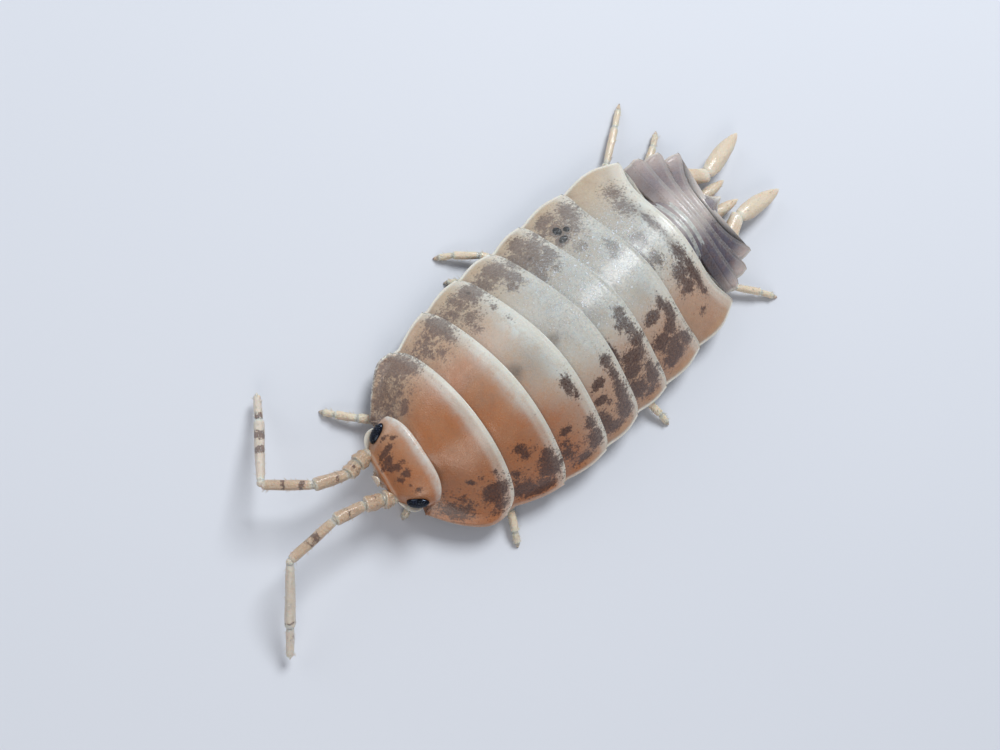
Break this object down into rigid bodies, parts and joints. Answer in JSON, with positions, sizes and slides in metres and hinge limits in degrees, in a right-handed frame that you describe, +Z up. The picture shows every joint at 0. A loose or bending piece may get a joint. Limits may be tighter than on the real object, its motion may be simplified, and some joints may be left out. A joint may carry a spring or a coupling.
{
  "type": "woodlouse",
  "caption": "Life-size still model of a smooth, piebald woodlouse, with overlapping back plates, raised feelers and forked tail limbs.",
  "frame": {"origin": "on the floor, under the centre of the whole animal's box, feelers and tail limbs included", "axes": "+Z up, head towards -Y, tail towards +Y, +X on the animal's left"},
  "size_m": [0.0116, 0.0278, 0.004],
  "materials": {
    "head_shell": "smooth glossy cuticle, warm orange tan with brown mottling at the front",
    "front_shell": "smooth glossy cuticle, translucent orange tan with pale rear margins",
    "trunk_shell": "smooth glossy cuticle, cream and grey white with grey purple and maroon patches",
    "tail_shell": "glossy cuticle, bluish grey purple with pale side tips",
    "eye": "glossy black, finely faceted",
    "leg": "translucent pale cream yellow cuticle",
    "tail_limb": "translucent pale cream cuticle",
    "feeler": "translucent tan cuticle with fine brown spots and pale joints",
    "belly": "pale soft cuticle of the underside"
  },
  "bodies": {
    "root": {"head": "head_shell", "eye_left": "eye", "eye_right": "eye", "mouthparts": "belly", "pereonite_1": "front_shell", "pereonite_2": "front_shell", "pereonite_3": "trunk_shell", "pereonite_4": "trunk_shell", "pereonite_5": "trunk_shell", "pereonite_6": "trunk_shell", "pereonite_7": "trunk_shell", "pleonite_1": "tail_shell", "pleonite_2": "tail_shell", "pleonite_3": "tail_shell", "pleonite_4": "tail_shell", "pleonite_5": "tail_shell", "telson": "tail_shell", "pleopods": "belly", "antenna_left_peduncle": "feeler", "antenna_left_flagellum": "feeler", "antenna_right_peduncle": "feeler", "antenna_right_flagellum": "feeler", "leg_left_1": "leg", "leg_left_2": "leg", "leg_left_3": "leg", "leg_left_4": "leg", "leg_left_5": "leg", "leg_left_6": "leg", "leg_left_7": "leg", "leg_right_1": "leg", "leg_right_2": "leg", "leg_right_3": "leg", "leg_right_4": "leg", "leg_right_5": "leg", "leg_right_6": "leg", "leg_right_7": "leg", "uropod_base_left": "tail_limb", "uropod_base_right": "tail_limb", "uropod_exopod_left": "tail_limb", "uropod_exopod_right": "tail_limb", "uropod_endopod_left": "tail_limb", "uropod_endopod_right": "tail_limb"}
  },
  "joints": []
}
